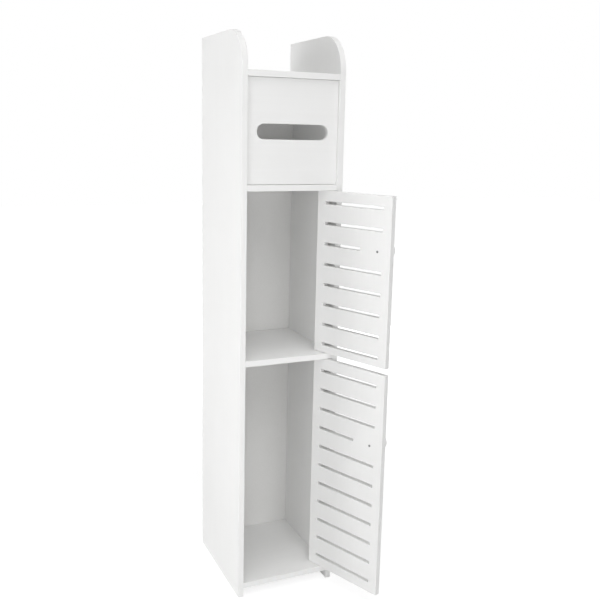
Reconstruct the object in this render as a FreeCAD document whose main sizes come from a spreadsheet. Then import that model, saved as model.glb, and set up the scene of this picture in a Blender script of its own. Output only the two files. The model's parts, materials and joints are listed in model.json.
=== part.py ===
import FreeCAD, Part
import Sketcher
import os
import re

# Narrow bathroom cabinet: a tray on top, a box with a slotted flap, and two cupboards with slotted doors.
# Millimetres, +Z up, origin on the floor at the middle of the footprint.
# The front is towards -Y and the right hand towards +X.
# Both doors are drawn open at door_open_angle degrees and the flap is drawn closed.

Vector = FreeCAD.Vector
doc = FreeCAD.newDocument("narrow_cabinet")
sizes = doc.addObject("Spreadsheet::Sheet", "Sizes")

# Driving dimensions
driving = (
    ("cabinet_width", 200.0, "over the side panels"),
    ("cabinet_depth", 230.0, "front edge to rear edge of a side panel"),
    ("cabinet_height", 1070.0, "floor to the top of a side panel"),
    ("board_thick", 11.0, "side panels and shelves"),
    ("top_corner_round", 68.0, "radius of a side panel's top front corner"),
    ("edge_round", 0.7, "eased corners of the painted boards"),
    ("rim_round", 0.6, "eased rims of the painted boards, less than edge_round"),
    ("floor_gap", 17.5, "floor to the underside of the bottom shelf"),
    ("upper_bay", 312.0, "clear height of the upper cupboard"),
    ("paper_bay", 187.5, "clear height of the paper box"),
    ("tray_high", 72.0, "top of the top shelf to the top of a side panel"),
    ("back_thick", 3.0, "back board"),
    ("back_inset", 16.0, "rear edge of a side panel to the back board"),
    ("back_groove", 5.0, "depth of the groove for the back board"),
    ("back_fit", 0.2, "clearance round the back board"),
    ("front_recess", 12.0, "front edge of a side panel to the closed doors"),
    ("door_thick", 11.0, "door panel"),
    ("door_side_gap", 1.2, "door to side panel"),
    ("door_end_gap", 0.7, "door to the shelf above and below"),
    ("door_open_angle", 111.6, "angle at which the doors are drawn, from closed"),
    ("pivot_inset", 14.0, "hinge edge of a door to its pins"),
    ("pin_radius", 2.5, "door pin"),
    ("pin_in_door", 18.0, "length of a pin inside the door"),
    ("pin_fit", 0.05, "radial clearance of a pin where it is fixed"),
    ("pin_run", 0.08, "radial clearance of a pin where it turns"),
    ("pin_end_gap", 0.5, "end of a pin to the bottom of its hole"),
    ("bush_wall", 1.5, "wall of a pivot bush"),
    ("bush_web", 1.0, "board left between two bushes on one axis"),
    ("washer_radius", 5.0, "washer under a door"),
    ("washer_thick", 0.4, "washer under a door"),
    ("slot_high", 5.8, "height of a slot in a door"),
    ("slot_side_margin", 19.0, "end of a slot to the edge of the door"),
    ("short_slot", 87.0, "length of the slot beside the knob"),
    ("upper_rows", 8, "slots in the upper door"),
    ("upper_rows_to_knob", 3, "row of the upper knob, from the top"),
    ("upper_top_margin", 22.3, "top edge of the upper door to the middle of its first slot"),
    ("upper_foot_margin", 16.7, "bottom edge of the upper door to the middle of its last slot"),
    ("lower_rows", 11, "slots in the lower door"),
    ("lower_rows_to_knob", 4, "row of the lower knob, from the top"),
    ("lower_top_margin", 24.6, "top edge of the lower door to the middle of its first slot"),
    ("lower_foot_margin", 22.2, "bottom edge of the lower door to the middle of its last slot"),
    ("knob_setback", 29.0, "free edge of a door to the knob's axis"),
    ("knob_radius", 14.0, "widest part of a knob"),
    ("knob_proud", 30.0, "door face to the knob's crown"),
    ("knob_rim", 24.0, "door face to the widest part"),
    ("knob_neck_radius", 6.5, "neck of a knob"),
    ("knob_neck", 10.0, "length of the straight neck"),
    ("screw_radius", 1.3, "knob screw"),
    ("screw_bite", 16.0, "length of the screw inside the knob"),
    ("screw_head_radius", 2.2, "head of the knob screw"),
    ("screw_head_high", 1.4, "height of the domed head"),
    ("screw_head_edge", 0.45, "height of the head's rim"),
    ("screw_cross_long", 2.6, "length of the cross recess"),
    ("screw_cross_wide", 0.7, "width of the cross recess"),
    ("screw_cross_deep", 0.8, "depth of the cross recess"),
    ("screw_fit", 0.05, "radial clearance of the screw in the knob"),
    ("screw_door_fit", 0.3, "radial clearance of the screw in the door"),
    ("flap_recess", 6.3, "front edge of a side panel to the flap"),
    ("flap_thick", 10.0, "slotted flap of the paper box"),
    ("flap_side_gap", 0.4, "flap to side panel"),
    ("flap_foot_gap", 0.6, "flap to the shelf below"),
    ("flap_head_gap", 0.45, "flap to the shelf above"),
    ("flap_pin_back", 4.0, "front face of the flap to its pins"),
    ("flap_pin_up", 20.0, "lower edge of the flap to its pins"),
    ("flap_pin_radius", 2.0, "flap pin"),
    ("flap_pin_in_flap", 16.0, "length of a pin inside the flap"),
    ("paper_slot_long", 139.0, "slot in the flap, end to end"),
    ("paper_slot_high", 27.5, "slot in the flap, with round ends"),
    ("panel_skin", 4.0, "board left behind a blind hole in a side panel"),
    ("dowel_radius", 3.0, "wooden dowel"),
    ("dowel_in_shelf", 15.0, "length of a dowel inside a shelf"),
    ("dowel_fit", 0.05, "radial clearance of a dowel"),
    ("dowel_setback", 38.0, "front or rear edge of a shelf to its dowels"),
    ("cam_radius", 6.0, "cam disc"),
    ("cam_setback", 20.0, "end of a shelf to the cam disc's axis"),
    ("cam_skin", 2.0, "board left above a cam disc"),
    ("cam_fit", 0.1, "clearance round a cam disc and its bolt"),
    ("bolt_radius", 2.5, "thread and head of a cam bolt"),
    ("bolt_neck_radius", 1.7, "neck of a cam bolt"),
    ("bolt_head_long", 3.0, "head of a cam bolt"),
    ("bolt_neck_long", 4.0, "neck of a cam bolt"),
    ("stop_deep", 9.0, "door stops and stop rail, front to back"),
    ("stop_wide", 8.0, "door stop, out from the side panel"),
    ("stop_tall", 26.0, "door stop, height"),
    ("stop_peg_radius", 2.5, "peg of a door stop"),
    ("rail_long", 90.0, "stop rail of the flap"),
    ("rail_tall", 10.0, "stop rail of the flap, height"),
    ("pad_radius", 3.5, "soft pad on a stop"),
    ("pad_thick", 1.5, "soft pad on a stop"),
    ("pad_gap", 0.4, "closed door or flap to its pad"),
)
aliases = set()
for row, (alias, number, meaning) in enumerate(driving, 1):
    sizes.set("A%d" % row, alias)
    sizes.set("B%d" % row, str(number))
    sizes.set("C%d" % row, meaning)
    sizes.setAlias("B%d" % row, alias)
    aliases.add(alias)
doc.recompute()

# Sizes and places worked out from the driving dimensions
worked_out = {
    "inner_wide": "cabinet_width - 2 * board_thick",
    "front": "-cabinet_depth / 2",
    "bottom_level": "floor_gap",
    "lower_bay": "cabinet_height - tray_high - paper_bay - upper_bay - 4 * board_thick - floor_gap",
    "middle_level": "bottom_level + board_thick + lower_bay",
    "paper_level": "middle_level + board_thick + upper_bay",
    "top_level": "paper_level + board_thick + paper_bay",
    "back_front": "cabinet_depth - back_inset - back_thick",
    "shelf_deep": "back_front - back_fit",
    "door_wide": "inner_wide - 2 * door_side_gap",
    "door_reach": "door_wide - pivot_inset",
    "pivot_across": "inner_wide - door_side_gap - pivot_inset",
    "pivot_back": "front_recess + door_thick / 2",
    "pivot_x": "pivot_across - inner_wide / 2",
    "pivot_y": "front + pivot_back",
    "upper_door_high": "upper_bay - 2 * door_end_gap",
    "lower_door_high": "lower_bay - 2 * door_end_gap",
    "upper_door_foot": "middle_level + board_thick + door_end_gap",
    "lower_door_foot": "bottom_level + board_thick + door_end_gap",
    "bush_radius": "pin_radius + pin_run + bush_wall",
    "bush_long": "(board_thick - bush_web) / 2",
    "pin_in_bush": "bush_long - pin_end_gap",
    "knob_across": "knob_setback - door_reach",
    "screw_long": "door_thick + screw_bite",
    "flap_wide": "inner_wide - 2 * flap_side_gap",
    "flap_high": "paper_bay - flap_foot_gap - flap_head_gap",
    "flap_pin_y": "front + flap_recess + flap_pin_back",
    "flap_pin_level": "paper_level + board_thick + flap_foot_gap + flap_pin_up",
    "panel_hole": "board_thick - panel_skin",
    "cam_high": "board_thick - cam_skin",
    "stop_front": "front_recess + door_thick + pad_gap + pad_thick",
    "rail_front": "flap_recess + flap_thick + pad_gap + pad_thick",
}


def tied(text):
    def swap(match):
        word = match.group(0)
        if word in worked_out:
            return "(" + tied(worked_out[word]) + ")"
        return "Sizes." + word if word in aliases else word

    return re.sub(r"[a-z][a-z_]*", swap, text)


def value(text):
    return float(sizes.evalExpression(tied(text)))


def bind(thing, property_name, text):
    thing.setExpression(property_name, tied(text))


def place(thing, across, deep, up, turn=None):
    # Puts a sub-part at its place, turned about the vertical where turn is given
    if turn:
        thing.Placement = FreeCAD.Placement(Vector(), FreeCAD.Rotation(Vector(0, 0, 1), value(turn)))
        bind(thing, "Placement.Rotation.Angle", turn)
    for letter, text in (("x", across), ("y", deep), ("z", up)):
        bind(thing, "Placement.Base." + letter, text)


sub_parts = []


def new_body(name):
    body = doc.addObject("PartDesign::Body", name)
    body.Label = name
    sub_parts.append(body)
    return body


def sketch_on(body, role, name, right="0", up="0", out="0"):
    # A sketch on one of the body's own origin planes, its zero moved right, up and out along its normal
    sketch = body.newObject("Sketcher::SketchObject", name)
    plane = [feature for feature in body.Origin.OriginFeatures if feature.Role == role][0]
    sketch.AttachmentSupport = [(plane, "")]
    sketch.MapMode = "FlatFace"
    for letter, text in (("x", right), ("y", up), ("z", out)):
        bind(sketch, "AttachmentOffset.Base." + letter, text)
    return sketch


def measure(sketch, kind, ends, text):
    index = sketch.addConstraint(Sketcher.Constraint(kind, *ends, value(text)))
    bind(sketch, "Constraints[%d]" % index, text)


def hold_point(sketch, piece, end, across, up):
    # Holds a point at a distance from the sketch's zero, or on its axis where the distance is 0
    for kind, axis, text in (("DistanceX", -2, across), ("DistanceY", -1, up)):
        if text == "0":
            sketch.addConstraint(Sketcher.Constraint("PointOnObject", piece, end, axis))
        else:
            measure(sketch, kind, (-1, 1, piece, end), text)


def line(sketch, start, end):
    return sketch.addGeometry(Part.LineSegment(Vector(*start, 0), Vector(*end, 0)), False)


def arc(sketch, start, middle, end):
    return sketch.addGeometry(Part.Arc(Vector(*start, 0), Vector(*middle, 0), Vector(*end, 0)), False)


def join(sketch, pairs):
    for first, first_end, second, second_end in pairs:
        sketch.addConstraint(Sketcher.Constraint("Coincident", first, first_end, second, second_end))


def rectangle(sketch, across, up, wide, high):
    left, low = value(across), value(up)
    right, top = left + value(wide), low + value(high)
    corners = ((left, low), (right, low), (right, top), (left, top))
    sides = [line(sketch, corners[k], corners[(k + 1) % 4]) for k in range(4)]
    join(sketch, [(sides[k], 2, sides[(k + 1) % 4], 1) for k in range(4)])
    for k, side in enumerate(sides):
        sketch.addConstraint(Sketcher.Constraint(("Horizontal", "Vertical")[k % 2], side))
    hold_point(sketch, sides[0], 1, across, up)
    measure(sketch, "DistanceX", (sides[0], 1, sides[0], 2), wide)
    measure(sketch, "DistanceY", (sides[1], 1, sides[1], 2), high)


def circle(sketch, across, up, radius):
    centre = Vector(value(across), value(up), 0)
    ring = sketch.addGeometry(Part.Circle(centre, Vector(0, 0, 1), value(radius)), False)
    hold_point(sketch, ring, 3, across, up)
    measure(sketch, "Radius", (ring,), radius)


def pad(body, sketch, length, name="pad"):
    feature = body.newObject("PartDesign::Pad", body.Name + "_" + name)
    feature.Profile = sketch
    bind(feature, "Length", length)
    return feature


def pocket(body, sketch, name, depth=None, along_normal=False):
    # Cuts a sketch into the body, through all of it where no depth is given
    doc.recompute()
    before = body.Shape.Volume
    feature = body.newObject("PartDesign::Pocket", body.Name + "_" + name)
    feature.Profile = sketch
    feature.Reversed = along_normal
    if depth:
        bind(feature, "Length", depth)
    else:
        feature.Type = "ThroughAll"
    doc.recompute()
    if body.Shape.Volume >= before:
        raise RuntimeError("%s cuts nothing" % feature.Name)


def is_sharp(shape, edge):
    middle = edge.valueAt((edge.FirstParameter + edge.LastParameter) / 2)
    first, second = (face.normalAt(*face.Surface.parameter(middle))
                     for face in shape.ancestorsOfType(edge, Part.Face))
    return first.dot(second) < 0.99


def round_edges(body, feature, name, radius, wanted):
    doc.recompute()
    shape = feature.Shape
    rounded = body.newObject("PartDesign::Fillet", body.Name + "_" + name)
    rounded.Base = (feature, ["Edge%d" % number for number, edge in enumerate(shape.Edges, 1)
                              if wanted(edge) and is_sharp(shape, edge)])
    bind(rounded, "Radius", radius)
    return rounded


def ease_edges(body, padded):
    # First the corners along the pad, then the rims of its two ends a little finer
    along = padded.Profile[0].Placement.Rotation.multVec(Vector(0, 0, 1))

    def goes_along(edge):
        return abs(edge.tangentAt(edge.FirstParameter).dot(along)) > 0.99

    corners = round_edges(body, padded, "corners", "edge_round", goes_along)
    round_edges(body, corners, "rims", "rim_round", lambda edge: not goes_along(edge))


def revolve(body, sketch):
    feature = body.newObject("PartDesign::Revolution", body.Name + "_turned")
    feature.Profile = sketch
    feature.ReferenceAxis = (sketch, ["V_Axis"])
    feature.Angle = 360.0


# Places along the depth of a shelf's end where it is joined to the side panels
shelf_levels = ("bottom_level", "middle_level", "paper_level", "top_level")
dowel_places = ("dowel_setback", "shelf_deep - dowel_setback")
bolt_place = "shelf_deep / 2"


# Side panels
def side_panel(name, left_edge, inner_face, cuts_along_normal):
    body = new_body(name)
    outline = sketch_on(body, "YZ_Plane", name + "_outline")
    deep, high, bend = value("cabinet_depth"), value("cabinet_height"), value("top_corner_round")
    on_arc = bend * (1 - 0.5 ** 0.5)
    floor_edge = line(outline, (0, 0), (deep, 0))
    rear_edge = line(outline, (deep, 0), (deep, high))
    top_edge = line(outline, (deep, high), (bend, high))
    corner = arc(outline, (bend, high), (on_arc, high - on_arc), (0, high - bend))
    front_edge = line(outline, (0, high - bend), (0, 0))
    join(outline, [(floor_edge, 2, rear_edge, 1), (rear_edge, 2, top_edge, 1)])
    join(outline, [(front_edge, 2, floor_edge, 1)])
    for side in (floor_edge, top_edge):
        outline.addConstraint(Sketcher.Constraint("Horizontal", side))
    for side in (rear_edge, front_edge):
        outline.addConstraint(Sketcher.Constraint("Vertical", side))
    hold_point(outline, floor_edge, 1, "0", "0")
    outline.addConstraint(Sketcher.Constraint("Tangent", top_edge, 2, corner, 1))
    outline.addConstraint(Sketcher.Constraint("Tangent", corner, 2, front_edge, 1))
    measure(outline, "DistanceX", (floor_edge, 1, floor_edge, 2), "cabinet_depth")
    measure(outline, "DistanceY", (rear_edge, 1, rear_edge, 2), "cabinet_height")
    measure(outline, "Radius", (corner,), "top_corner_round")
    ease_edges(body, pad(body, outline, "board_thick"))
    groove = sketch_on(body, "YZ_Plane", name + "_groove_lines", out=inner_face)
    rectangle(groove, "back_front - back_fit", "bottom_level", "back_thick + 2 * back_fit",
              "top_level - bottom_level")
    pocket(body, groove, "groove", "back_groove", cuts_along_normal)
    fittings = sketch_on(body, "YZ_Plane", name + "_fitting_lines", out=inner_face)
    for level in shelf_levels:
        middle = level + " + board_thick / 2"
        for deep_text in dowel_places:
            circle(fittings, deep_text, middle, "dowel_radius + dowel_fit")
        circle(fittings, bolt_place, middle, "bolt_radius + dowel_fit")
    circle(fittings, "flap_recess + flap_pin_back", "flap_pin_level", "flap_pin_radius + pin_run")
    pocket(body, fittings, "fitting_holes", "panel_hole", cuts_along_normal)
    place(body, left_edge, "front", "0")
    return body


left_panel = side_panel("left_side_panel", "-cabinet_width / 2", "board_thick", False)
side_panel("right_side_panel", "cabinet_width / 2 - board_thick", "0", True)
peg_holes = sketch_on(left_panel, "YZ_Plane", "stop_peg_lines", out="board_thick")
for door in ("upper", "lower"):
    circle(peg_holes, "stop_front + stop_deep / 2", door + "_door_foot + " + door + "_door_high / 2",
           "stop_peg_radius + pin_fit")
pocket(left_panel, peg_holes, "stop_peg_holes", "panel_hole")


# Shelves, with the holes for dowels, cam fittings and the doors' pivot bushes
def shelf(name, level, deep, bush_above, bush_below):
    body = new_body(name)
    outline = sketch_on(body, "XY_Plane", name + "_outline")
    rectangle(outline, "0", "0", "inner_wide", deep)
    ease_edges(body, pad(body, outline, "board_thick"))
    for end, out, along_normal in (("left", "0", True), ("right", "inner_wide", False)):
        dowels = sketch_on(body, "YZ_Plane", name + "_" + end + "_dowel_lines", out=out)
        for deep_text in dowel_places:
            circle(dowels, deep_text, "board_thick / 2", "dowel_radius + dowel_fit")
        pocket(body, dowels, end + "_dowel_holes", "dowel_in_shelf", along_normal)
        channel = sketch_on(body, "YZ_Plane", name + "_" + end + "_bolt_lines", out=out)
        circle(channel, bolt_place, "board_thick / 2", "bolt_radius + cam_fit")
        pocket(body, channel, end + "_bolt_channel", "cam_setback", along_normal)
    cams = sketch_on(body, "XY_Plane", name + "_cam_lines")
    for across in ("cam_setback", "inner_wide - cam_setback"):
        circle(cams, across, bolt_place, "cam_radius + cam_fit")
    pocket(body, cams, "cam_pockets", "cam_high", True)
    for wanted, face, out, along_normal in ((bush_above, "upper", "board_thick", False),
                                            (bush_below, "lower", "0", True)):
        if wanted:
            hole = sketch_on(body, "XY_Plane", name + "_" + face + "_bush_lines", out=out)
            circle(hole, "pivot_across", "pivot_back", "bush_radius + pin_fit")
            pocket(body, hole, face + "_bush_hole", "bush_long", along_normal)
    place(body, "-inner_wide / 2", "front", level)


shelf("bottom_shelf", "bottom_level", "shelf_deep", True, False)
shelf("middle_shelf", "middle_level", "shelf_deep", True, True)
shelf("paper_shelf", "paper_level", "shelf_deep", False, True)
shelf("top_shelf", "top_level", "cabinet_depth", False, False)

# Back board, held in the side panels' grooves behind the shelves
back_board = new_body("back_board")
back_outline = sketch_on(back_board, "XZ_Plane", "back_board_outline")
rectangle(back_outline, "0", "0", "inner_wide + 2 * (back_groove - back_fit)",
          "top_level - bottom_level - 2 * back_fit")
pad(back_board, back_outline, "back_thick")
place(back_board, "back_fit - back_groove - inner_wide / 2", "front + back_front + back_thick",
      "bottom_level + back_fit")


# Groups of like pieces, each piece a solid of its own
def group(name, pieces):
    gathered = doc.addObject("Part::Compound", name)
    gathered.Label = name
    gathered.Links = pieces
    sub_parts.append(gathered)


def rod(name, radius, length, axis, across, deep, up):
    # A round bar from a point along +X, -X, -Y or +Z
    bar = doc.addObject("Part::Cylinder", name)
    turns = {"+X": (Vector(0, 1, 0), 90), "-X": (Vector(0, 1, 0), -90), "-Y": (Vector(1, 0, 0), 90),
             "+Z": (Vector(0, 0, 1), 0)}
    bar.Placement = FreeCAD.Placement(Vector(), FreeCAD.Rotation(*turns[axis]))
    bind(bar, "Radius", radius)
    bind(bar, "Height", length)
    place(bar, across, deep, up)
    return bar


def cut(name, base, tool):
    left_over = doc.addObject("Part::Cut", name)
    left_over.Base = base
    left_over.Tool = tool
    return left_over


shelf_ends = (("left", "-inner_wide / 2", "+X", 1), ("right", "inner_wide / 2", "-X", -1))
dowels, bolts, discs = [], [], []
for level in shelf_levels:
    middle = level + " + board_thick / 2"
    shelf_name = level.replace("_level", "")
    for end, face, inward, sign in shelf_ends:
        tag = shelf_name + "_" + end
        hole_end = "%s - %d * (panel_hole - pin_end_gap)" % (face, sign)
        for k, deep_text in enumerate(dowel_places):
            dowels.append(rod("%s_dowel_%d" % (tag, k + 1), "dowel_radius",
                              "panel_hole + dowel_in_shelf - 2 * pin_end_gap", inward,
                              hole_end, "front + " + deep_text, middle))
        deep_text = "front + " + bolt_place
        head_start = "cam_setback - cam_radius / 2"
        thread = rod(tag + "_bolt_thread", "bolt_radius",
                     "panel_hole - pin_end_gap + " + head_start + " - bolt_neck_long", inward,
                     hole_end, deep_text, middle)
        neck = rod(tag + "_bolt_neck", "bolt_neck_radius", "bolt_neck_long", inward,
                   "%s + %d * (%s - bolt_neck_long)" % (face, sign, head_start), deep_text, middle)
        head = rod(tag + "_bolt_head", "bolt_radius", "bolt_head_long", inward,
                   "%s + %d * (%s)" % (face, sign, head_start), deep_text, middle)
        bolt = doc.addObject("Part::MultiFuse", tag + "_bolt")
        bolt.Shapes = [thread, neck, head]
        bolts.append(bolt)
        disc = rod(tag + "_cam_round", "cam_radius", "cam_high", "+Z",
                   "%s + %d * cam_setback" % (face, sign), deep_text, level)
        mouth = doc.addObject("Part::Box", tag + "_cam_mouth")
        bind(mouth, "Length", "cam_radius + bolt_radius")
        bind(mouth, "Width", "2 * (bolt_radius + cam_fit)")
        bind(mouth, "Height", "2 * (bolt_radius + cam_fit)")
        reach = "cam_setback - cam_radius" if sign > 0 else "-cam_setback - bolt_radius"
        place(mouth, "%s + %s" % (face, reach), deep_text + " - bolt_radius - cam_fit",
              middle + " - bolt_radius - cam_fit")
        discs.append(cut(tag + "_cam", disc, mouth))
group("shelf_dowels", dowels)
group("cam_bolts", bolts)
group("cam_discs", discs)

bushes = []
for name, low in (("bottom_top", "bottom_level + board_thick - bush_long"), ("middle_under", "middle_level"),
                  ("middle_top", "middle_level + board_thick - bush_long"), ("paper_under", "paper_level")):
    sleeve = rod(name + "_sleeve", "bush_radius", "bush_long", "+Z", "pivot_x", "pivot_y", low)
    bore = rod(name + "_bore", "pin_radius + pin_run", "bush_long", "+Z", "pivot_x", "pivot_y", low)
    bushes.append(cut(name + "_bush", sleeve, bore))
group("pivot_bushes", bushes)


# Stops behind the doors and the flap, with soft pads
def door_stop(name, foot, high):
    body = new_body(name)
    block = sketch_on(body, "YZ_Plane", name + "_outline")
    rectangle(block, "0", "0", "stop_deep", "stop_tall")
    ease_edges(body, pad(body, block, "stop_wide"))
    peg = sketch_on(body, "YZ_Plane", name + "_peg_lines", out="pin_end_gap - panel_hole")
    circle(peg, "stop_deep / 2", "stop_tall / 2", "stop_peg_radius")
    pad(body, peg, "panel_hole - pin_end_gap + edge_round", "peg")
    place(body, "-inner_wide / 2", "front + stop_front", foot + " + (" + high + " - stop_tall) / 2")


door_stop("upper_door_stop", "upper_door_foot", "upper_door_high")
door_stop("lower_door_stop", "lower_door_foot", "lower_door_high")
rail = new_body("flap_stop_rail")
rail_outline = sketch_on(rail, "XY_Plane", "flap_stop_rail_outline")
rectangle(rail_outline, "0", "0", "rail_long", "stop_deep")
ease_edges(rail, pad(rail, rail_outline, "rail_tall"))
place(rail, "-rail_long / 2", "front + rail_front", "top_level - rail_tall")
stop_middle = "stop_wide / 2 - inner_wide / 2"
pad_places = (
    ("upper_door_pad", stop_middle, "stop_front", "upper_door_foot + upper_door_high / 2"),
    ("lower_door_pad", stop_middle, "stop_front", "lower_door_foot + lower_door_high / 2"),
    ("flap_left_pad", "rail_tall / 2 - rail_long / 2", "rail_front", "top_level - rail_tall / 2"),
    ("flap_right_pad", "rail_long / 2 - rail_tall / 2", "rail_front", "top_level - rail_tall / 2"),
)
group("stop_pads", [rod(name, "pad_radius", "pad_thick", "-Y", across, "front + " + deep, up)
                    for name, across, deep, up in pad_places])

# Flap of the paper box, tipping forward on two pins near its lower edge
flap = new_body("paper_flap_panel")
flap_corner = ("-flap_wide / 2", "-flap_pin_up", "flap_pin_back - flap_thick")
flap_outline = sketch_on(flap, "XZ_Plane", "flap_outline", *flap_corner)
rectangle(flap_outline, "0", "0", "flap_wide", "flap_high")
ease_edges(flap, pad(flap, flap_outline, "flap_thick"))
slot = sketch_on(flap, "XZ_Plane", "paper_slot_lines", *flap_corner)
slot_end = value("paper_slot_high / 2")
slot_left = value("(flap_wide - paper_slot_long) / 2") + slot_end
slot_right = slot_left + value("paper_slot_long - paper_slot_high")
slot_middle = value("flap_high / 2")
lower_side = line(slot, (slot_left, slot_middle - slot_end), (slot_right, slot_middle - slot_end))
right_end = arc(slot, (slot_right, slot_middle - slot_end), (slot_right + slot_end, slot_middle),
                (slot_right, slot_middle + slot_end))
upper_side = line(slot, (slot_right, slot_middle + slot_end), (slot_left, slot_middle + slot_end))
left_end = arc(slot, (slot_left, slot_middle + slot_end), (slot_left - slot_end, slot_middle),
               (slot_left, slot_middle - slot_end))
for first, first_end, second, second_end in ((lower_side, 2, right_end, 1), (right_end, 2, upper_side, 1),
                                             (upper_side, 2, left_end, 1), (left_end, 2, lower_side, 1)):
    slot.addConstraint(Sketcher.Constraint("Tangent", first, first_end, second, second_end))
slot.addConstraint(Sketcher.Constraint("Horizontal", lower_side))
hold_point(slot, left_end, 3, "(flap_wide - paper_slot_long + paper_slot_high) / 2", "flap_high / 2")
measure(slot, "Radius", (left_end,), "paper_slot_high / 2")
measure(slot, "DistanceX", (lower_side, 1, lower_side, 2), "paper_slot_long - paper_slot_high")
pocket(flap, slot, "paper_slot", None, True)
for end, out, along_normal in (("left", "-flap_wide / 2", True), ("right", "flap_wide / 2", False)):
    hole = sketch_on(flap, "YZ_Plane", "flap_" + end + "_pin_lines", out=out)
    circle(hole, "0", "0", "flap_pin_radius + pin_fit")
    pocket(flap, hole, end + "_pin_hole", "flap_pin_in_flap", along_normal)
place(flap, "0", "flap_pin_y", "flap_pin_level")
for end, face, inward, sign in shelf_ends:
    pin = rod("flap_%s_pin" % end, "flap_pin_radius",
              "panel_hole + flap_side_gap + flap_pin_in_flap - 2 * pin_end_gap", inward,
              "%s - %d * (panel_hole - pin_end_gap)" % (face, sign), "flap_pin_y", "flap_pin_level")
    pin.Label = pin.Name
    sub_parts.append(pin)


# Doors, each drawn in its own frame with the pins' axis at zero and the inner face towards +Y
def door_body(name, foot):
    body = new_body(name)
    place(body, "pivot_x", "pivot_y", foot, "door_open_angle")
    return body


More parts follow.
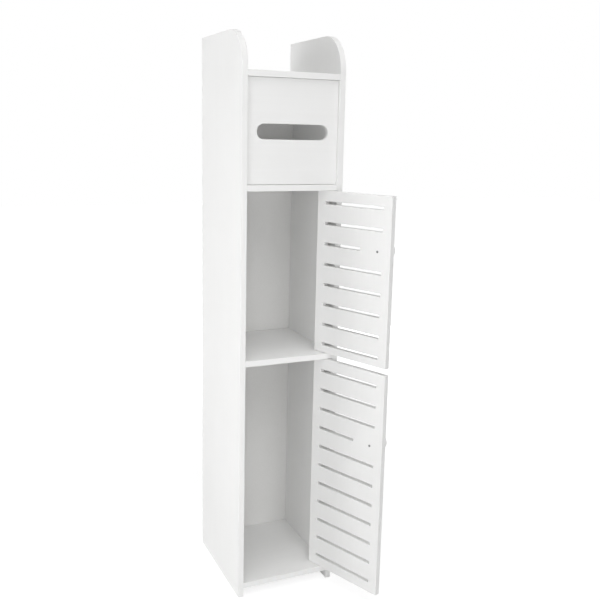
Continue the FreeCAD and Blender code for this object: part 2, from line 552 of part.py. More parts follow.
def door(which):
    high, foot = which + "_door_high", which + "_door_foot"
    rows, knob_row = int(value(which + "_rows")), int(value(which + "_rows_to_knob"))
    pitch = "(%s - %s_top_margin - %s_foot_margin) / (%s_rows - 1)" % (high, which, which, which)
    row_middle = "%s - %s_top_margin - %%d * %s" % (high, which, pitch)
    knob_up = row_middle % (knob_row - 1)

    panel = door_body(which + "_door_panel", foot)
    outline = sketch_on(panel, "XZ_Plane", which + "_door_outline", "-door_reach", "0", "-door_thick / 2")
    rectangle(outline, "0", "0", "door_wide", high)
    ease_edges(panel, pad(panel, outline, "door_thick"))
    slots = sketch_on(panel, "XZ_Plane", which + "_slot_lines", "-door_reach", "0", "-door_thick / 2")
    for row in range(rows):
        long = "short_slot" if row == knob_row - 1 else "door_wide - 2 * slot_side_margin"
        rectangle(slots, "door_wide - slot_side_margin - (%s)" % long, row_middle % row + " - slot_high / 2",
                  long, "slot_high")
    circle(slots, "knob_setback", knob_up, "screw_radius + screw_door_fit")
    pocket(panel, slots, "slots", None, True)
    for end, out, along_normal in (("top", high, False), ("bottom", "0", True)):
        hole = sketch_on(panel, "XY_Plane", which + "_" + end + "_pin_lines", out=out)
        circle(hole, "0", "0", "pin_radius + pin_fit")
        pocket(panel, hole, end + "_pin_hole", "pin_in_door", along_normal)

    for end, low in (("top", high + " - pin_in_door + pin_end_gap"),
                     ("bottom", "-door_end_gap - pin_in_bush")):
        pin = door_body(which + "_door_" + end + "_pin", foot)
        round_end = sketch_on(pin, "XY_Plane", pin.Name + "_outline", out=low)
        circle(round_end, "0", "0", "pin_radius")
        pad(pin, round_end, "pin_in_door - pin_end_gap + door_end_gap + pin_in_bush")

    washer = door_body(which + "_door_washer", foot)
    ring = sketch_on(washer, "XY_Plane", washer.Name + "_outline", out="-washer_thick")
    circle(ring, "0", "0", "washer_radius")
    circle(ring, "0", "0", "pin_radius + pin_fit")
    pad(washer, ring, "washer_thick")

    knob = door_body(which + "_door_knob", foot)
    profile = sketch_on(knob, "XY_Plane", knob.Name + "_outline", "knob_across", "-door_thick / 2", knob_up)
    profile.AttachmentOffset = FreeCAD.Placement(Vector(), FreeCAD.Rotation(Vector(0, 0, 1), 180))
    neck, widest = value("knob_neck_radius"), value("knob_radius")
    neck_top, rim, crown = value("knob_neck"), value("knob_rim"), value("knob_proud")
    under = ((widest ** 2 - neck ** 2) - (rim - neck_top) ** 2) / (2 * (widest - neck))
    dome = (widest ** 2 + (crown - rim) ** 2) / (2 * (crown - rim))
    half_up = crown - dome + (dome ** 2 - widest ** 2 / 4) ** 0.5
    foot_line = line(profile, (0, 0), (neck, 0))
    neck_line = line(profile, (neck, 0), (neck, neck_top))
    bend = 0.5 ** 0.5
    underside = arc(profile, (neck, neck_top),
                    (under + (widest - under) * bend, rim - (widest - under) * bend), (widest, rim))
    crown_arc = arc(profile, (widest, rim), (widest / 2, half_up), (0, crown))
    axis_line = line(profile, (0, crown), (0, 0))
    join(profile, [(foot_line, 2, neck_line, 1), (neck_line, 2, underside, 1), (underside, 2, crown_arc, 1),
                   (crown_arc, 2, axis_line, 1), (axis_line, 2, foot_line, 1)])
    hold_point(profile, foot_line, 1, "0", "0")
    hold_point(profile, foot_line, 2, "knob_neck_radius", "0")
    hold_point(profile, neck_line, 2, "knob_neck_radius", "knob_neck")
    hold_point(profile, underside, 2, "knob_radius", "knob_rim")
    hold_point(profile, crown_arc, 2, "0", "knob_proud")
    profile.addConstraint(Sketcher.Constraint("Horizontal", underside, 3, underside, 2))
    profile.addConstraint(Sketcher.Constraint("PointOnObject", crown_arc, 3, -2))
    revolve(knob, profile)
    bore = sketch_on(knob, "XZ_Plane", knob.Name + "_bore_lines", "knob_across", knob_up, "door_thick / 2")
    circle(bore, "0", "0", "screw_radius + screw_fit")
    pocket(knob, bore, "bore", "screw_bite + pin_end_gap", True)

    screw = door_body(which + "_knob_screw", foot)
    section = sketch_on(screw, "XY_Plane", screw.Name + "_outline", "knob_across",
                        "door_thick / 2 + screw_head_high", knob_up)
    section.AttachmentOffset = FreeCAD.Placement(Vector(), FreeCAD.Rotation(Vector(0, 0, 1), 180))
    shank, wide = value("screw_radius"), value("screw_head_radius")
    seat, edge = value("screw_head_high"), value("screw_head_edge")
    tip = seat + value("screw_long")
    rise = seat - edge
    head_dome = (wide ** 2 + rise ** 2) / (2 * rise)
    half_rise = head_dome - (head_dome ** 2 - wide ** 2 / 4) ** 0.5
    top_arc = arc(section, (0, 0), (wide / 2, half_rise), (wide, rise))
    corners = ((wide, rise), (wide, seat), (shank, seat), (shank, tip), (0, tip), (0, 0))
    sides = [line(section, corners[k], corners[k + 1]) for k in range(5)]
    join(section, [(top_arc, 2, sides[0], 1), (sides[4], 2, top_arc, 1)])
    join(section, [(sides[k], 2, sides[k + 1], 1) for k in range(4)])
    section.addConstraint(Sketcher.Constraint("PointOnObject", top_arc, 3, -2))
    hold_point(section, top_arc, 1, "0", "0")
    hold_point(section, top_arc, 2, "screw_head_radius", "screw_head_high - screw_head_edge")
    hold_point(section, sides[1], 1, "screw_head_radius", "screw_head_high")
    hold_point(section, sides[2], 1, "screw_radius", "screw_head_high")
    hold_point(section, sides[3], 1, "screw_radius", "screw_head_high + screw_long")
    hold_point(section, sides[4], 1, "0", "screw_head_high + screw_long")
    revolve(screw, section)
    for bar, long, tall in (("level", "screw_cross_long", "screw_cross_wide"),
                            ("upright", "screw_cross_wide", "screw_cross_long")):
        recess = sketch_on(screw, "XZ_Plane", "%s_%s_lines" % (screw.Name, bar),
                           "knob_across - %s / 2" % long, knob_up + " - %s / 2" % tall,
                           "-door_thick / 2 - screw_head_high")
        rectangle(recess, "0", "0", long, tall)
        pocket(screw, recess, bar + "_recess", "screw_cross_deep", True)


door("upper")
door("lower")

doc.recompute()
for thing in doc.Objects:
    if "Invalid" in thing.State or "Error" in thing.State:
        raise RuntimeError("%s failed: %s" % (thing.Name, thing.State))
os.makedirs("parts", exist_ok=True)
for sub_part in sub_parts:
    shape = sub_part.Shape
    if shape.isNull() or not shape.isValid():
        raise RuntimeError("%s has no valid shape" % sub_part.Label)
    shape.exportStep("parts/%s.step" % sub_part.Label)
    print("%-26s %2d solids %12.1f mm3" % (sub_part.Label, len(shape.Solids), shape.Volume))
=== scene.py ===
import json
import math
import bpy
from mathutils import Matrix, Vector

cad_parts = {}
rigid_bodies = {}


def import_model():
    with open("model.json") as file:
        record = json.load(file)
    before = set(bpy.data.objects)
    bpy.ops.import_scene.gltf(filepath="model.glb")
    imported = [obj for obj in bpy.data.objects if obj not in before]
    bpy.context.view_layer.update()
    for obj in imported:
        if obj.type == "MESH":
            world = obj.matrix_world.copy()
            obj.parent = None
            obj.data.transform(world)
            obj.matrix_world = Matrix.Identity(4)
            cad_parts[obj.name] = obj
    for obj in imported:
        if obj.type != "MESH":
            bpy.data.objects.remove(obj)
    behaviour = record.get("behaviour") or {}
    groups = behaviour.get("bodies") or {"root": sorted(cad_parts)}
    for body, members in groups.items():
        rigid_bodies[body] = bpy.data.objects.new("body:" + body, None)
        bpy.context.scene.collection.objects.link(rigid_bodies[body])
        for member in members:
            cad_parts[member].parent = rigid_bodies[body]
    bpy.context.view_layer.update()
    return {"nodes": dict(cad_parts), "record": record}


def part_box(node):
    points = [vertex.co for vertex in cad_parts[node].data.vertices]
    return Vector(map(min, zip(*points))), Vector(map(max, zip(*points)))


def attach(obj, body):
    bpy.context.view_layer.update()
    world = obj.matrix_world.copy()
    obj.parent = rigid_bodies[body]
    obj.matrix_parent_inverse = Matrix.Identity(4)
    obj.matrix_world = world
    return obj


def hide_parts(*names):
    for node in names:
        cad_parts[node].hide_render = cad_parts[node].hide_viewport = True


for stray in list(bpy.data.objects):  # whatever the empty file starts with
    bpy.data.objects.remove(stray)
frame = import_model()
nodes = frame["nodes"]
mm = 0.001
print("frame in:", len(nodes), "CAD nodes")


# Shader helpers. Every pattern reads Object coordinates, in metres.
def startMaterial(name):
    material = bpy.data.materials.new(name)
    material.use_nodes = True
    tree = material.node_tree
    spot = tree.nodes.new("ShaderNodeTexCoord").outputs["Object"]
    return material, tree, tree.nodes["Principled BSDF"], spot


def put(tree, kind, **sockets):
    made = tree.nodes.new(kind)
    for name, source in sockets.items():
        socket = made.inputs[name.replace("_", " ")]
        if isinstance(source, bpy.types.NodeSocket):
            tree.links.new(source, socket)
        else:
            socket.default_value = source
    return made


def reckon(tree, operation, *terms):
    made = tree.nodes.new("ShaderNodeMath")
    made.operation = operation
    for socket, term in zip(made.inputs, terms):
        if isinstance(term, bpy.types.NodeSocket):
            tree.links.new(term, socket)
        else:
            socket.default_value = term
    return made.outputs[0]


def stretch(tree, spot, scale):
    return put(tree, "ShaderNodeMapping", Vector=spot, Scale=scale).outputs[0]


def noise(tree, spot, pattern):
    scale, detail, rough = pattern
    made = put(tree, "ShaderNodeTexNoise", Vector=spot, Scale=scale, Detail=detail, Roughness=rough)
    return made.outputs[0]


def mixTwo(tree, first, second, share):
    kept = reckon(tree, "MULTIPLY", first, 1 - share)
    return reckon(tree, "MULTIPLY_ADD", second, share, kept)


def bump(tree, height, relief, under=None):
    strength, distance = relief
    made = put(tree, "ShaderNodeBump", Height=height, Strength=strength, Distance=distance)
    if under:
        tree.links.new(under, made.inputs["Normal"])
    return made.outputs[0]


# Tone goes from dark to light between the two stops, gloss is the span of the roughness
def coat(tree, shader, look, tone, gloss, normal):
    ramp = put(tree, "ShaderNodeValToRGB", Fac=tone)
    colours = (look["dark"], look["light"])
    for element, stop, colour in zip(ramp.color_ramp.elements, look["stops"], colours):
        element.position = stop
        element.color = (*colour, 1)
    low, high = look["gloss"]
    rough = put(tree, "ShaderNodeMapRange", Value=gloss, To_Min=low, To_Max=high)
    tree.links.new(ramp.outputs[0], shader.inputs["Base Color"])
    tree.links.new(rough.outputs[0], shader.inputs["Roughness"])
    tree.links.new(normal, shader.inputs["Normal"])
    for name, value in look["also"].items():
        shader.inputs[name].default_value = value


# Noises below are (scale, detail, roughness) and reliefs (strength, distance in metres)
# White paint on boards, more matt than satin: cloudy tone, faint roller lines along the board, orange peel
boardPaint = {
    "light": (0.868, 0.868, 0.862), "dark": (0.842, 0.842, 0.835), "stops": (0.3, 0.62),
    "gloss": (0.52, 0.64), "cloud": (7.0, 3.0, 0.55),
    "peel": (620.0, 2.0, 0.45), "peelShare": 0.4, "peelRelief": (0.22, 0.00007),
    "lines": (1.0, 3.0, 0.6), "acrossLines": 150.0, "alongLines": 2.7, "lineShare": 0.35,
    "lineRelief": (0.10, 0.00006), "also": {"Specular IOR Level": 0.2},
}


def makeBoardPaint(name, along):
    look = boardPaint
    material, tree, shader, spot = startMaterial(name)
    scale = [look["alongLines"] if axis == along else look["acrossLines"] for axis in "XYZ"]
    lines = noise(tree, stretch(tree, spot, scale), look["lines"])
    cloud = noise(tree, spot, look["cloud"])
    peel = noise(tree, spot, look["peel"])
    tone = mixTwo(tree, cloud, lines, look["lineShare"])
    gloss = mixTwo(tree, cloud, peel, look["peelShare"])
    rolled = bump(tree, lines, look["lineRelief"])
    coat(tree, shader, look, tone, gloss, bump(tree, peel, look["peelRelief"], rolled))
    return material


# Thin hardboard, rolled white, its fibres just showing through
hardboardPaint = {
    "light": (0.852, 0.850, 0.840), "dark": (0.800, 0.797, 0.785), "stops": (0.3, 0.65),
    "gloss": (0.56, 0.70), "cloud": (5.0, 3.0, 0.55),
    "fibre": (1.0, 4.0, 0.65), "fibreStretch": (420, 420, 240), "fibreShare": 0.4,
    "fibreRelief": (0.3, 0.00012), "also": {"Specular IOR Level": 0.2},
}


def makeHardboardPaint(name):
    look = hardboardPaint
    material, tree, shader, spot = startMaterial(name)
    fibre = noise(tree, stretch(tree, spot, look["fibreStretch"]), look["fibre"])
    tone = mixTwo(tree, noise(tree, spot, look["cloud"]), fibre, look["fibreShare"])
    coat(tree, shader, look, tone, fibre, bump(tree, fibre, look["fibreRelief"]))
    return material


# Bright zinc plate on pins, cam bolts and cam discs
zincPlate = {
    "light": (0.68, 0.69, 0.70), "dark": (0.50, 0.51, 0.52), "stops": (0.25, 0.7), "gloss": (0.24, 0.42),
    "cloud": (320.0, 3.0, 0.6), "grain": 900.0, "grainShare": 0.4, "grainRelief": (0.15, 0.00004),
    "also": {"Metallic": 1.0},
}


def makeZincPlate(name):
    look = zincPlate
    material, tree, shader, spot = startMaterial(name)
    grain = put(tree, "ShaderNodeTexVoronoi", Vector=spot, Scale=look["grain"]).outputs["Distance"]
    cloud = noise(tree, spot, look["cloud"])
    tone = mixTwo(tree, cloud, grain, look["grainShare"])
    coat(tree, shader, look, tone, cloud, bump(tree, grain, look["grainRelief"]))
    return material


# Bare beech, grain along X as the dowels lie
bareBeech = {
    "light": (0.66, 0.47, 0.29), "dark": (0.50, 0.33, 0.19), "stops": (0.3, 0.7), "gloss": (0.55, 0.72),
    "grain": (1.0, 4.0, 0.6), "grainStretch": (60, 900, 900), "grainRelief": (0.4, 0.0001), "also": {},
}


def makeBareBeech(name):
    look = bareBeech
    material, tree, shader, spot = startMaterial(name)
    grain = noise(tree, stretch(tree, spot, look["grainStretch"]), look["grain"])
    coat(tree, shader, look, grain, grain, bump(tree, grain, look["grainRelief"]))
    return material


# Gloss paint on the turned knobs, fine grain under it
knobPaint = {
    "light": (0.868, 0.868, 0.860), "dark": (0.835, 0.834, 0.825), "stops": (0.3, 0.65),
    "gloss": (0.15, 0.24), "cloud": (60.0, 3.0, 0.55), "fine": (900.0, 2.0, 0.5), "relief": (0.12, 0.00005),
    "also": {"Coat Weight": 0.25, "Coat Roughness": 0.12},
}
# Dull grey steel of the knob screws, rubbed a little lighter in patches
dullSteel = {
    "light": (0.30, 0.30, 0.305), "dark": (0.17, 0.17, 0.175), "stops": (0.35, 0.75), "gloss": (0.34, 0.52),
    "cloud": (700.0, 4.0, 0.6), "relief": (0.2, 0.00003), "also": {"Metallic": 0.8},
}
# Moulded nylon of the bushes, stops and washers, with a fine spark texture
mouldedNylon = {
    "light": (0.845, 0.843, 0.822), "dark": (0.800, 0.797, 0.775), "stops": (0.3, 0.7), "gloss": (0.42, 0.56),
    "cloud": (90.0, 2.0, 0.5), "fine": (2600.0, 2.0, 0.5), "relief": (0.3, 0.00005),
    "also": {"Subsurface Weight": 0.06, "Subsurface Radius": (0.001, 0.001, 0.001)},
}
# Soft grey bumper dots
softRubber = {
    "light": (0.34, 0.34, 0.335), "dark": (0.26, 0.26, 0.255), "stops": (0.3, 0.7), "gloss": (0.55, 0.75),
    "cloud": (500.0, 3.0, 0.6), "relief": (0.25, 0.00006), "also": {},
}


def makeClouded(name, look):
    # tone from a cloud, gloss and relief from a finer noise where there is one
    material, tree, shader, spot = startMaterial(name)
    cloud = noise(tree, spot, look["cloud"])
    fine = noise(tree, spot, look["fine"]) if "fine" in look else cloud
    coat(tree, shader, look, cloud, fine, bump(tree, fine, look["relief"]))
    return material


paintUpright = makeBoardPaint("white paint, upright boards", "Z")
paintLevel = makeBoardPaint("white paint, level boards", "X")
paintBack = makeHardboardPaint("rolled paint, back board")
paintKnob = makeClouded("gloss paint, knobs", knobPaint)
zinc = makeZincPlate("zinc plate")
dullScrew = makeClouded("dull steel", dullSteel)
nylon = makeClouded("moulded nylon", mouldedNylon)
rubber = makeClouded("soft rubber", softRubber)
beech = makeBareBeech("bare beech")
print("materials made:", len(bpy.data.materials))

# Modelling helpers
sharpAngle = math.radians(40)  # edges that turn by more are eased, or stay sharp in the shading
mostly = 0.9  # share of a normal along an axis, for a face that looks that way


def unpick():
    if bpy.context.mode != "OBJECT":
        bpy.ops.object.mode_set(mode="OBJECT")
    bpy.ops.object.select_all(action="DESELECT")


def pickOnly(*things):
    unpick()
    for thing in things:
        thing.select_set(True)
    bpy.context.view_layer.objects.active = things[0]


def settle():
    # the place goes into the mesh, so that the object sits at the origin
    bpy.ops.object.transform_apply(location=True, rotation=True, scale=True)


def addBlock(name, low, high):
    unpick()
    bpy.ops.mesh.primitive_cube_add(size=1, location=(Vector(low) + Vector(high)) / 2)
    block = bpy.context.object
    block.name = name
    block.scale = Vector(high) - Vector(low)
    settle()
    return block


def addBar(name, radius, start, length, axis, sides=48):
    # round bar from a point along X, Y or Z
    turn = {"X": (0, math.pi / 2, 0), "Y": (math.pi / 2, 0, 0), "Z": (0, 0, 0)}[axis]
    middle = Vector(start)
    middle["XYZ".index(axis)] += length / 2
    unpick()
    bpy.ops.mesh.primitive_cylinder_add(
        vertices=sides, radius=radius, depth=abs(length), location=middle, rotation=turn)
    bar = bpy.context.object
    bar.name = name
    settle()
    return bar


def pickParts(piece, kind, wanted):
    # faces or points of the piece that are wanted, left selected in edit mode
    pickOnly(piece)
    bpy.ops.object.mode_set(mode="EDIT")
    bpy.ops.mesh.select_mode(type=kind)
    bpy.ops.mesh.select_all(action="DESELECT")
    bpy.ops.object.mode_set(mode="OBJECT")
    for part in piece.data.polygons if kind == "FACE" else piece.data.vertices:
        part.select = wanted(part)
    bpy.ops.object.mode_set(mode="EDIT")


def applyTool(piece, kind, **settings):
    pickOnly(piece)
    tool = piece.modifiers.new(kind.lower(), kind)
    for name, value in settings.items():
        setattr(tool, name, value)
    bpy.ops.object.modifier_apply(modifier=tool.name)


def cutAway(piece, cutter):
    applyTool(piece, "BOOLEAN", operation="DIFFERENCE", solver="EXACT", object=cutter)
    bpy.data.objects.remove(cutter)


def easeEdges(piece, width, steps):
    applyTool(piece, "BEVEL", width=width, segments=steps, limit_method="ANGLE", angle_limit=sharpAngle)


def ownCopy(piece):
    unpick()  # out of edit mode, so that the copy has the latest mesh
    copied = piece.copy()
    copied.data = piece.data.copy()
    bpy.context.collection.objects.link(copied)
    return copied


def joinCopies(first, name, places):
    # a copy at each place, turned about Z, all made one piece
    placed = []
    for place, turn in places:
        copied = ownCopy(first)
        pickOnly(copied)
        copied.location = place
        copied.rotation_euler.z = turn
        settle()
        placed.append(copied)
    bpy.data.objects.remove(first)
    pickOnly(*placed)
    bpy.ops.object.join()
    placed[0].name = name
    return placed[0]


def finishPiece(piece, finish, body, slot, *stoodFor):
    pickOnly(piece)
    bpy.ops.object.shade_smooth_by_angle(angle=sharpAngle)
    applyTool(piece, "WEIGHTED_NORMAL", keep_sharp=True)
    piece.data.materials.clear()
    piece.data.materials.append(finish)
    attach(piece, body)
    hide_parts(*stoodFor)


# Slotted doors, modelled shut with the pins' axis at zero and then swung open
doorCut = {
    "wide": 175.6 * mm, "thick": 11.0 * mm, "open": 111.6, "pinInset": 14.0 * mm, "slotHigh": 5.8 * mm,
    "sideMargin": 19.0 * mm, "shortSlot": 87.0 * mm, "arris": 1.0 * mm, "arrisSteps": 4, "pinHole": 2.55 * mm,
    "pinDeep": 18.0 * mm, "screwHole": 1.6 * mm, "knobSetback": 29.0 * mm,
}
doorRows = {
    "upper": {"rows": 8, "knobRow": 3, "topMargin": 22.3 * mm, "footMargin": 16.7 * mm},
    "lower": {"rows": 11, "knobRow": 4, "topMargin": 24.6 * mm, "footMargin": 22.2 * mm},
}
pivots = {joint["child"]: Vector(joint["pos_m"]) for joint in frame["record"]["behaviour"]["joints"]}


def doorTall(which):
    low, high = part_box(which + "_door_panel")
    return high.z - low.z


def slotLevels(which):
    # middles of the slots above the door's foot, from the top row down
    rows = doorRows[which]
    top = doorTall(which) - rows["topMargin"]
    pitch = (top - rows["footMargin"]) / (rows["rows"] - 1)
    return [top - pitch * row for row in range(rows["rows"])]


def knobSpot(which):
    # along the door from its pins, and above its foot
    along = doorCut["knobSetback"] + doorCut["pinInset"] - doorCut["wide"]
    return along, slotLevels(which)[doorRows[which]["knobRow"] - 1]


def swingOpen(piece, which):
    pivot = pivots[which + "_door"]
    pickOnly(piece)
    piece.rotation_euler.z = math.radians(doorCut["open"])
    piece.location = (pivot.x, pivot.y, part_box(which + "_door_panel")[0].z)
    settle()


def cutAcross(places, normal):
    axis = normal.index(1)
    for place in places:
        point = [0, 0, 0]
        point[axis] = place
        bpy.ops.mesh.select_all(action="SELECT")
        bpy.ops.mesh.bisect(plane_co=point, plane_no=normal)


def makeDoorPanel(which):
    cut = doorCut
    tall = doorTall(which)
    levels = slotLevels(which)
    freeEnd = cut["sideMargin"] + cut["pinInset"] - cut["wide"]
    hingeEnd = cut["pinInset"] - cut["sideMargin"]
    shortEnd = hingeEnd - cut["shortSlot"]
    half = cut["slotHigh"] / 2
    unpick()
    bpy.ops.mesh.primitive_plane_add(size=1, rotation=(math.pi / 2, 0, 0))
    panel = bpy.context.object
    panel.name = which + "DoorPanel"
    panel.location = (cut["pinInset"] - cut["wide"] / 2, 0, tall / 2)
    panel.scale = (cut["wide"], tall, 1)
    settle()
    bpy.ops.object.mode_set(mode="EDIT")
    cutAcross([freeEnd, shortEnd, hingeEnd], (1, 0, 0))
    cutAcross([level + side for level in levels for side in (half, -half)], (0, 0, 1))

    def inSlot(face):
        for row, level in enumerate(levels, 1):
            start = shortEnd if row == doorRows[which]["knobRow"] else freeEnd
            if abs(face.center.z - level) < half and start < face.center.x < hingeEnd:
                return True
        return False

    pickParts(panel, "FACE", inSlot)
    bpy.ops.mesh.delete(type="FACE")
    applyTool(panel, "SOLIDIFY", thickness=cut["thick"], offset=0)
    easeEdges(panel, cut["arris"], cut["arrisSteps"])
    for name, foot in (("topHole", tall - cut["pinDeep"]), ("footHole", -mm)):
        cutAway(panel, addBar(name, cut["pinHole"], (0, 0, foot), cut["pinDeep"] + mm, "Z"))
    knobAlong, knobUp = knobSpot(which)
    screwStart = (knobAlong, -cut["thick"], knobUp)
    cutAway(panel, addBar("screwHole", cut["screwHole"], screwStart, 2 * cut["thick"], "Y"))
    swingOpen(panel, which)
    finishPiece(panel, paintUpright, which + "_door", "white_board", which + "_door_panel")


for door in doorRows:
    makeDoorPanel(door)
print("door panels cut and swung open")

# Turned knobs: rings of (radius, height above the door face) in mm, extruded one from the next
knobTurned = {
    "rings": ((6.5, 0), (6.5, 0.8), (6.1, 3), (6.0, 7), (6.6, 10.5), (8.6, 13.6), (11.3, 17), (13.3, 20.6),
              (14.0, 22.8), (13.8, 24.0), (12.6, 25.2), (10.0, 27.1), (6.5, 28.8), (3.0, 29.7), (1.0, 29.95)),
    "sides": 32, "smooth": 2, "boreRadius": 1.35 * mm, "boreDeep": 16.5 * mm, "footHold": 0.5 * mm,
}


def makeKnob():
    turned = knobTurned
    unpick()
    radius, height = turned["rings"][0]
    bpy.ops.mesh.primitive_circle_add(vertices=turned["sides"], radius=radius * mm, fill_type="NGON")
    knob = bpy.context.object
    bpy.ops.object.mode_set(mode="EDIT")
    bpy.ops.mesh.select_all(action="SELECT")
    for wider, higher in turned["rings"][1:]:
        grow = wider / radius
        bpy.ops.mesh.extrude_region_move(TRANSFORM_OT_translate={"value": (0, 0, (higher - height) * mm)})
        bpy.ops.transform.resize(value=(grow, grow, 1), center_override=(0, 0, higher * mm))
        radius, height = wider, higher
    onFoot = 0.01 * mm
    pickParts(knob, "FACE", lambda face: abs(face.center.z) < onFoot and abs(face.normal.z) > mostly)
    bpy.ops.mesh.inset(thickness=turned["footHold"])
    bpy.ops.mesh.select_all(action="SELECT")
    bpy.ops.mesh.normals_make_consistent(inside=False)
    applyTool(knob, "SUBSURF", levels=turned["smooth"], render_levels=turned["smooth"])
    cutAway(knob, addBar("bore", turned["boreRadius"], (0, 0, -mm), turned["boreDeep"] + mm, "Z"))
    return knob


def seatKnob(knob, which):
    along, up = knobSpot(which)
    pickOnly(knob)
    knob.name = which + "DoorKnob"
    knob.rotation_euler.x = math.pi / 2
    knob.location = (along, -doorCut["thick"] / 2, up)
    settle()
    swingOpen(knob, which)
    finishPiece(knob, paintKnob, which + "_door", "knob_finish", which + "_door_knob")


firstKnob = makeKnob()
secondKnob = ownCopy(firstKnob)
seatKnob(firstKnob, "upper")
seatKnob(secondKnob, "lower")
print("knobs turned")

# Flap of the paper box with its long rounded slot
flapCut = {
    "slotLong": 139.0 * mm, "slotHigh": 27.5 * mm, "roundSides": 96, "arris": 0.6 * mm, "arrisSteps": 3,
    "pinHole": 2.05 * mm, "pinDeep": 16.0 * mm,
}


def makeSlotCutter(low, high):
    # a round bar whose halves are drawn apart, in the middle of the flap
    cut = flapCut
    radius = cut["slotHigh"] / 2
    through = high.y - low.y + 2 * mm
    cutter = addBar("slotCutter", radius, (0, low.y - mm, 0), through, "Y", cut["roundSides"])
    pickOnly(cutter)
    # no corner at the very top, so that it parts in two halves
    cutter.rotation_euler.y = math.pi / cut["roundSides"]
    settle()
    for side in (1, -1):
        pickParts(cutter, "VERT", lambda point: point.co.x * side > 0)
        bpy.ops.transform.translate(value=(side * (cut["slotLong"] / 2 - radius), 0, 0))
    pickOnly(cutter)
    cutter.location = ((low.x + high.x) / 2, 0, (low.z + high.z) / 2)
    settle()
    return cutter


def makeFlap():
    cut = flapCut
    low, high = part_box("paper_flap_panel")
    panel = addBlock("paperFlapPanel", low, high)
    cutAway(panel, makeSlotCutter(low, high))
    easeEdges(panel, cut["arris"], cut["arrisSteps"])
    pin = pivots["paper_flap"]
    for name, across in (("leftHole", low.x - mm), ("rightHole", high.x - cut["pinDeep"])):
        cutAway(panel, addBar(name, cut["pinHole"], (across, pin.y, pin.z), cut["pinDeep"] + mm, "X"))
    finishPiece(panel, paintLevel, "paper_flap", "white_board", "paper_flap_panel")


makeFlap()
print("flap cut")

# Cam discs with a cross recess, let into the undersides of the shelves
camDisc = {
    "radius": 6.0 * mm, "high": 9.0 * mm, "sides": 64, "setback": 20.0 * mm,
    "edge": 0.35 * mm, "edgeSteps": 2, "crossLong": 7.2 * mm, "crossWide": 1.7 * mm, "crossDeep": 2.0 * mm,
    "mouth": 5.2 * mm, "mouthPast": 2.5 * mm, "boltUp": 5.5 * mm,
}


def makeCamDiscs():
    cam = camDisc
    disc = addBar("camDisc", cam["radius"], (0, 0, 0), cam["high"], "Z", cam["sides"])
    for long, wide in ((cam["crossLong"], cam["crossWide"]), (cam["crossWide"], cam["crossLong"])):
        cutAway(disc, addBlock("cross", (-long / 2, -wide / 2, -mm), (long / 2, wide / 2, cam["crossDeep"])))
    half = cam["mouth"] / 2
    cutAway(disc, addBlock("mouth", (-cam["radius"] - mm, -half, cam["boltUp"] - half),
                           (cam["mouthPast"], half, cam["boltUp"] + half)))
    easeEdges(disc, cam["edge"], cam["edgeSteps"])
    boltLow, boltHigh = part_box("cam_bolts")
    places = []
    for shelf in ("bottom_shelf", "middle_shelf", "paper_shelf", "top_shelf"):
        low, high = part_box(shelf)
        for across, turn in ((low.x + cam["setback"], 0), (high.x - cam["setback"], math.pi)):
            places.append(((across, (boltLow.y + boltHigh.y) / 2, low.z), turn))
    discs = joinCopies(disc, "camDiscs", places)
    finishPiece(discs, zinc, "cabinet", "zinc_steel", "cam_discs")


makeCamDiscs()
print("cam discs made")

# Soft domed pads on the stops
stopPad = {
    "radius": 3.5 * mm, "thick": 1.5 * mm, "sides": 40, "dome": 1.0 * mm, "domeSteps": 5,
    "railInset": 5.0 * mm,
}


def makeStopPads():
    pad = stopPad
    dot = addBar("stopPad", pad["radius"], (0, 0, 0), -pad["thick"], "Y", pad["sides"])
    pickParts(dot, "FACE", lambda face: face.normal.y < -mostly)
    bpy.ops.mesh.bevel(offset=pad["dome"], segments=pad["domeSteps"], affect="EDGES")
    places = []
    for stop in ("upper_door_stop", "lower_door_stop"):
        low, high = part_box(stop)
        across = (high.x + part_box("left_side_panel")[1].x) / 2
        places.append(((across, low.y, (low.z + high.z) / 2), 0))
    low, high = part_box("flap_stop_rail")
    for across in (low.x + pad["railInset"], high.x - pad["railInset"]):
        places.append(((across, low.y, (low.z + high.z) / 2), 0))
    pads = joinCopies(dot, "stopPads", places)
    finishPiece(pads, rubber, "cabinet", "soft_pad", "stop_pads")


makeStopPads()
print("stop pads made")

# CAD nodes that keep their own shape, and what they are finished in
nodeFinish = {
    "left_side_panel": paintUpright, "right_side_panel": paintUpright, "top_shelf": paintLevel,
    "paper_shelf": paintLevel, "middle_shelf": paintLevel, "bottom_shelf": paintLevel,
    "flap_stop_rail": paintLevel, "back_board": paintBack, "shelf_dowels": beech, "cam_bolts": zinc,
    "pivot_bushes": nylon, "upper_door_stop": nylon, "lower_door_stop": nylon, "flap_left_pin": zinc,
    "flap_right_pin": zinc,
}
for door in doorRows:
    nodeFinish[door + "_knob_screw"] = dullScrew
    nodeFinish[door + "_door_top_pin"] = zinc
    nodeFinish[door + "_door_bottom_pin"] = zinc
    nodeFinish[door + "_door_washer"] = nylon
for name, finish in nodeFinish.items():
    nodes[name].data.materials.clear()
    nodes[name].data.materials.append(finish)
print("CAD nodes finished:", len(nodeFinish))

# Floor: plain and pale, white to the eye, with the shadow kept
floorLook = {
    "side": 16.0, "colour": 0.82, "shadowShare": 0.35, "glowNear": 0.78, "glowFar": 1.0,
    "near": 0.5, "far": 1.6,
}
white = (1, 1, 1, 1)


def seenDirectly(tree):
    path = tree.nodes.new("ShaderNodeLightPath")
    seen = path.outputs["Is Camera Ray"]
    for other in ("Is Glossy Ray", "Is Transmission Ray"):
        seen = reckon(tree, "MAXIMUM", seen, path.outputs[other])
    return seen


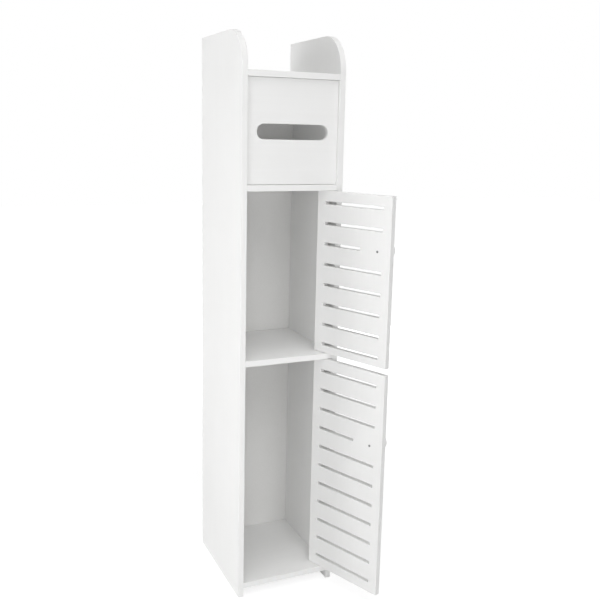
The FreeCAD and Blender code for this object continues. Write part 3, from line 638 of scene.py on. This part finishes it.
def chooseBySight(tree, lighting, shown, output):
    # what lights the cabinet, and what the eye gets
    choice = put(tree, "ShaderNodeMixShader", Fac=seenDirectly(tree))
    tree.links.new(lighting, choice.inputs[1])
    tree.links.new(shown, choice.inputs[2])
    tree.links.new(choice.outputs[0], tree.nodes[output].inputs["Surface"])


def makeFloor():
    look = floorLook
    unpick()
    bpy.ops.mesh.primitive_plane_add(size=look["side"])
    floor = bpy.context.object
    floor.name = "floor"
    material, tree, shader, spot = startMaterial("studio floor")
    tree.nodes.remove(shader)
    away = tree.nodes.new("ShaderNodeVectorMath")
    away.operation = "LENGTH"
    tree.links.new(spot, away.inputs[0])
    glow = put(tree, "ShaderNodeMapRange", Value=away.outputs["Value"], From_Min=look["near"],
               From_Max=look["far"], To_Min=look["glowNear"], To_Max=look["glowFar"]).outputs[0]
    matt = put(tree, "ShaderNodeBsdfDiffuse", Color=(*[look["colour"]] * 3, 1)).outputs[0]
    shadow = put(tree, "ShaderNodeBsdfDiffuse", Color=(*[look["shadowShare"]] * 3, 1)).outputs[0]
    shown = tree.nodes.new("ShaderNodeAddShader")
    tree.links.new(put(tree, "ShaderNodeEmission", Color=white, Strength=glow).outputs[0], shown.inputs[0])
    tree.links.new(shadow, shown.inputs[1])
    chooseBySight(tree, matt, shown.outputs[0], "Material Output")
    floor.data.materials.append(material)


# Studio room: even dim light, white to the eye
roomLook = {"dim": 0.1, "seen": 1.0}


def makeRoom():
    room = bpy.data.worlds.new("studio")
    bpy.context.scene.world = room
    room.use_nodes = True
    tree = room.node_tree
    dim = tree.nodes["Background"]
    dim.inputs["Color"].default_value = white
    dim.inputs["Strength"].default_value = roomLook["dim"]
    bright = put(tree, "ShaderNodeBackground", Color=white, Strength=roomLook["seen"])
    chooseBySight(tree, dim.outputs[0], bright.outputs[0], "World Output")


# Soft boxes, mostly from the left and above, aimed at the cabinet's middle, and a weak one in the paper box
lampAim = (0, 0, 0.55)
lamps = {
    "paperBox": {"place": (-0.03, -0.09, 0.94), "size": (0.1, 0.03), "power": 0.034,
                 "aim": (-0.02, 0.095, 0.9)},
    "leftBack": {"place": (-2.0, 0.8, 0.55), "size": (1.2, 1.9), "power": 26.4},
    "leftFront": {"place": (-1.5, -1.5, 0.9), "size": (1.0, 0.8), "power": 4.5},
    "leftStrip": {"place": (-0.65, -0.4, 0.45), "size": (0.25, 1.6), "power": 1.7},
    "front": {"place": (-0.3, -2.1, 0.6), "size": (1.4, 0.8), "power": 9.1},
    "over": {"place": (-0.2, -0.5, 2.8), "size": (1.8, 1.8), "power": 24.0},
    "overFront": {"place": (-0.6, -3.0, 3.4), "size": (2.5, 2.0), "power": 36.0},
    "rightBack": {"place": (1.7, 1.3, 0.3), "size": (1.4, 0.6), "power": 26.0},
    "rightFront": {"place": (1.5, -1.6, 0.4), "size": (1.2, 1.0), "power": 4.2},
}


def hangLamps():
    for name, lamp in lamps.items():
        bpy.ops.object.light_add(type="AREA", location=lamp["place"])
        light = bpy.context.object
        light.name = name
        light.data.shape = "RECTANGLE"
        light.data.size, light.data.size_y = lamp["size"]
        light.data.energy = lamp["power"]
        light.visible_camera = False
        look = Vector(lamp.get("aim", lampAim)) - Vector(lamp["place"])
        light.rotation_euler = look.to_track_quat("-Z", "Y").to_euler()


makeFloor()
makeRoom()
hangLamps()
print("floor and lamps set")

# Camera where the photograph was taken from, for a 600 by 600 picture; places in metres, lens in mm
view = {
    "place": (-0.58143, -1.42980, 0.89266), "azimuth": -24.08, "elevation": 10.91, "roll": 1.20,
    "lens": 47.43, "sensor": 36.0, "shift": (0.0093, -0.0252), "nearest": 0.01,
}


def setCamera():
    azimuth, elevation, roll = (math.radians(view[key]) for key in ("azimuth", "elevation", "roll"))
    right = Vector((math.cos(azimuth), math.sin(azimuth), 0))
    level = Vector((math.sin(azimuth), -math.cos(azimuth), 0))
    back = math.cos(elevation) * level + Vector((0, 0, math.sin(elevation)))
    up = back.cross(right)
    rolledRight = math.cos(roll) * right + math.sin(roll) * up
    rolledUp = math.cos(roll) * up - math.sin(roll) * right
    bpy.ops.object.camera_add()
    camera = bpy.context.object
    turned = Matrix((rolledRight, rolledUp, back)).transposed().to_4x4()
    camera.matrix_world = Matrix.Translation(view["place"]) @ turned
    camera.data.lens = view["lens"]
    camera.data.sensor_width = view["sensor"]
    camera.data.shift_x, camera.data.shift_y = view["shift"]
    camera.data.clip_start = view["nearest"]
    bpy.context.scene.camera = camera


setCamera()
bpy.context.scene.view_settings.view_transform = "Standard"
print("camera set")
